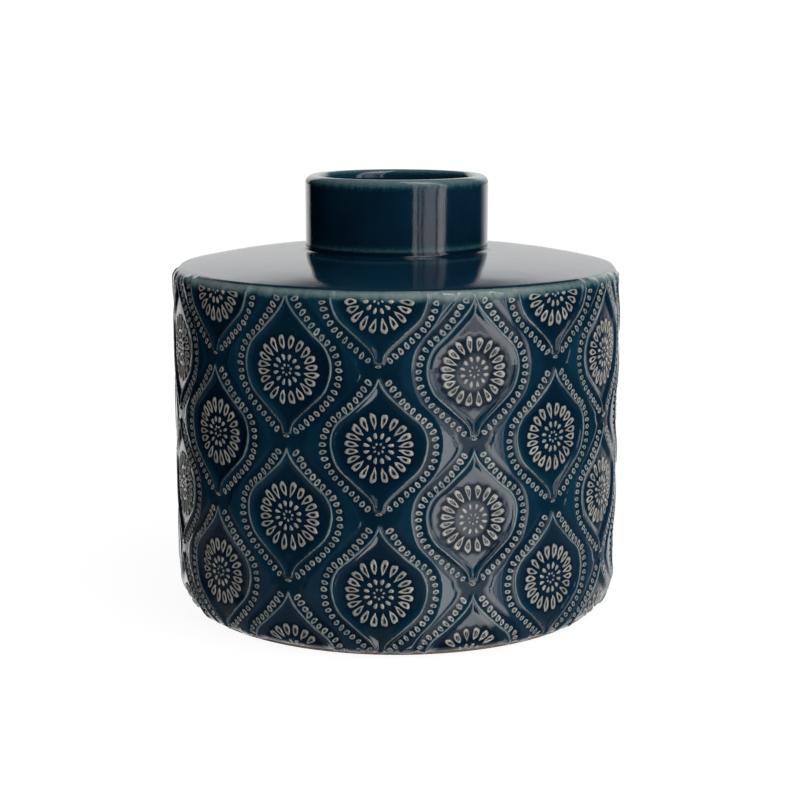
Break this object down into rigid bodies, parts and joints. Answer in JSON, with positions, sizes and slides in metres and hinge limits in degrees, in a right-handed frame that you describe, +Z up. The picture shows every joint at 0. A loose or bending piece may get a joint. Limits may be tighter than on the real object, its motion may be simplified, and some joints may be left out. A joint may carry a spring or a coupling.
{
  "type": "flower vase",
  "caption": "Squat round ceramic flower vase with a flat domed shoulder, a short collar neck and a raised ogee, bead and rosette pattern under dark navy glaze.",
  "frame": {"origin": "centre of the plane that the foot ring stands on", "axes": "+Z up along the axis the vase is turned about; the face shown in the picture looks along -Y"},
  "size_m": [0.1912, 0.1912, 0.184],
  "materials": {
    "bare_clay": "matte",
    "body_clay": "matte",
    "outer_glaze": "polished",
    "liner_glaze": "polished",
    "rib_glaze": "gloss",
    "bead_glaze": "gloss",
    "petal_glaze": "gloss"
  },
  "bodies": {
    "root": {"foot_ring": "bare_clay", "pot_body": "body_clay", "shoulder_plate": "body_clay", "neck_collar": "body_clay", "outer_glaze": "outer_glaze", "liner_glaze": "liner_glaze", "ogee_ribs": "rib_glaze", "bead_rows": "bead_glaze", "petal_rings": "petal_glaze", "seed_rings": "petal_glaze", "rosette_eyes": "bead_glaze"}
  },
  "joints": []
}
